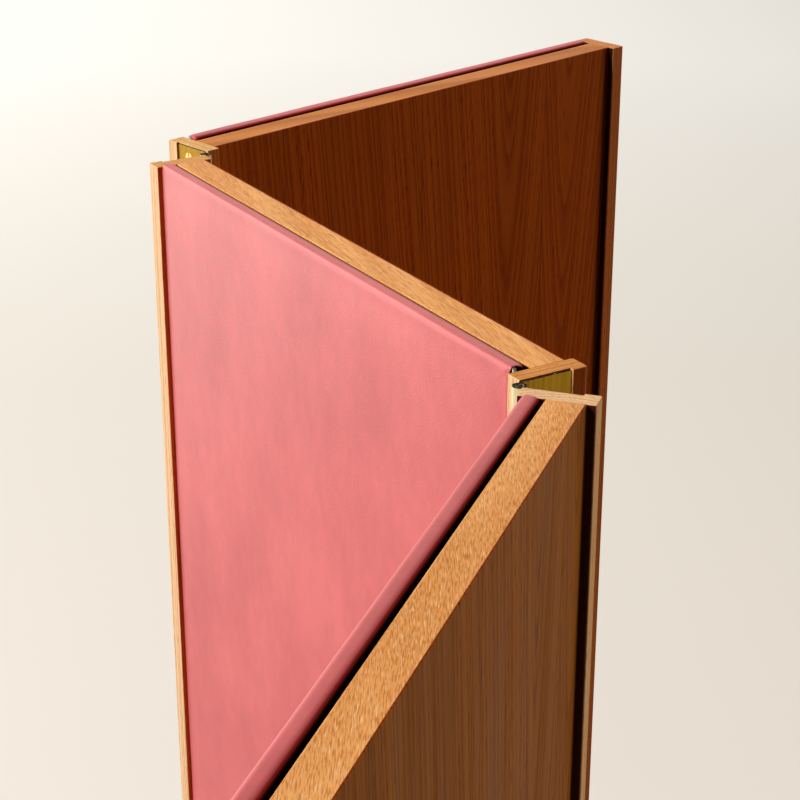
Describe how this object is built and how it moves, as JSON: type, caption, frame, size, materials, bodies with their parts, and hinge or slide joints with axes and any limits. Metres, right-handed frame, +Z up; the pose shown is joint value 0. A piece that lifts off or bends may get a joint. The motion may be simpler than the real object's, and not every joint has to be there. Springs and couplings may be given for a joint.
{
  "type": "folding room divider",
  "caption": "Zig-zag folding screen with veneered wood on one side, leather-covered pads on the other and long brass hinges let into its edge strips.",
  "frame": {"origin": "on the floor, below the middle of the standing screen's box", "axes": "+Z up; +X along the middle panel from the left hinge to the right one; +Y towards the middle panel's wood side"},
  "size_m": [0.9198, 0.8292, 1.7016],
  "materials": {
    "oak_solid": "oiled solid oak, satin",
    "oak_veneer": "oiled oak veneer, satin",
    "blockboard": "raw blockboard",
    "beech": "raw beech dowel",
    "plywood": "raw plywood",
    "foam": "thin foam",
    "leather": "rose leather, fine grain, satin",
    "nylon": "moulded nylon",
    "steel_screw": "zinc-plated screw",
    "glide_plastic": "moulded glide",
    "brass_leaf": "brass, satin",
    "brass_screw": "brass, satin",
    "steel_pin": "drawn steel"
  },
  "bodies": {
    "middle_panel": {"left_hinge_inner_leaf": "brass_leaf", "left_hinge_inner_screws": "brass_screw", "left_hinge_pin": "steel_pin", "middle_panel_back_veneer": "oak_veneer", "middle_panel_bottom_lipping": "oak_solid", "middle_panel_core_board": "blockboard", "middle_panel_dowels": "beech", "middle_panel_face_veneer": "oak_veneer", "middle_panel_glides": "glide_plastic", "middle_panel_leather": "leather", "middle_panel_pad_board": "plywood", "middle_panel_pad_foam": "foam", "middle_panel_pad_sockets": "nylon", "middle_panel_pad_studs": "nylon", "middle_panel_strip_left": "oak_solid", "middle_panel_strip_right": "oak_solid", "middle_panel_stud_screws": "steel_screw", "middle_panel_top_lipping": "oak_solid", "right_hinge_inner_leaf": "brass_leaf", "right_hinge_inner_screws": "brass_screw", "right_hinge_pin": "steel_pin"},
    "left_panel": {"left_hinge_outer_leaf": "brass_leaf", "left_hinge_outer_screws": "brass_screw", "left_panel_back_veneer": "oak_veneer", "left_panel_bottom_lipping": "oak_solid", "left_panel_core_board": "blockboard", "left_panel_dowels": "beech", "left_panel_face_veneer": "oak_veneer", "left_panel_glides": "glide_plastic", "left_panel_leather": "leather", "left_panel_pad_board": "plywood", "left_panel_pad_foam": "foam", "left_panel_pad_sockets": "nylon", "left_panel_pad_studs": "nylon", "left_panel_strip_left": "oak_solid", "left_panel_strip_right": "oak_solid", "left_panel_stud_screws": "steel_screw", "left_panel_top_lipping": "oak_solid"},
    "right_panel": {"right_hinge_outer_leaf": "brass_leaf", "right_hinge_outer_screws": "brass_screw", "right_panel_back_veneer": "oak_veneer", "right_panel_bottom_lipping": "oak_solid", "right_panel_core_board": "blockboard", "right_panel_dowels": "beech", "right_panel_face_veneer": "oak_veneer", "right_panel_glides": "glide_plastic", "right_panel_leather": "leather", "right_panel_pad_board": "plywood", "right_panel_pad_foam": "foam", "right_panel_pad_sockets": "nylon", "right_panel_pad_studs": "nylon", "right_panel_strip_left": "oak_solid", "right_panel_strip_right": "oak_solid", "right_panel_stud_screws": "steel_screw", "right_panel_top_lipping": "oak_solid"}
  },
  "joints": [
    {"name": "left_fold", "type": "hinge", "parent": "middle_panel", "child": "left_panel", "pos_m": [-0.31604, -0.0245, 0.85], "axis": [0, 0, -1], "range_deg": [-77, 103]},
    {"name": "right_fold", "type": "hinge", "parent": "middle_panel", "child": "right_panel", "pos_m": [0.13696, -0.0705, 0.85], "axis": [0, 0, -1], "range_deg": [-50, 130]}
  ]
}
